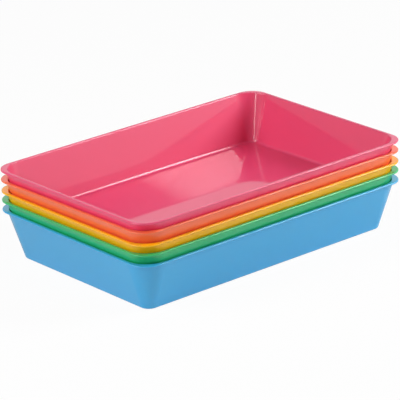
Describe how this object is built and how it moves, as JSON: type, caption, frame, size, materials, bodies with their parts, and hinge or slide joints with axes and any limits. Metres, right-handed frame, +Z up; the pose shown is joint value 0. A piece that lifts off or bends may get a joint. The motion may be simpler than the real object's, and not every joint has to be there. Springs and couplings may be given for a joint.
{
  "type": "stack of plastic trays",
  "caption": "Stack of shallow nested plastic trays with leaning walls, rounded corners and thin rims; the top tray is open and empty.",
  "frame": {"origin": "middle of the lowest tray's underside, on the surface that the stack stands on", "axes": "+X along the trays' long side, +Y along their short side, +Z up out of the open trays"},
  "size_m": [0.3302, 0.2203, 0.0913],
  "materials": {
    "blue_plastic": "glossy moulded polypropylene, slightly translucent",
    "green_plastic": "glossy moulded polypropylene, slightly translucent",
    "yellow_plastic": "glossy moulded polypropylene, slightly translucent",
    "orange_plastic": "glossy moulded polypropylene, slightly translucent",
    "pink_plastic": "glossy moulded polypropylene, slightly translucent"
  },
  "bodies": {
    "root": {"blue_tray": "blue_plastic", "green_tray": "green_plastic", "yellow_tray": "yellow_plastic", "orange_tray": "orange_plastic", "pink_tray": "pink_plastic"}
  },
  "joints": []
}
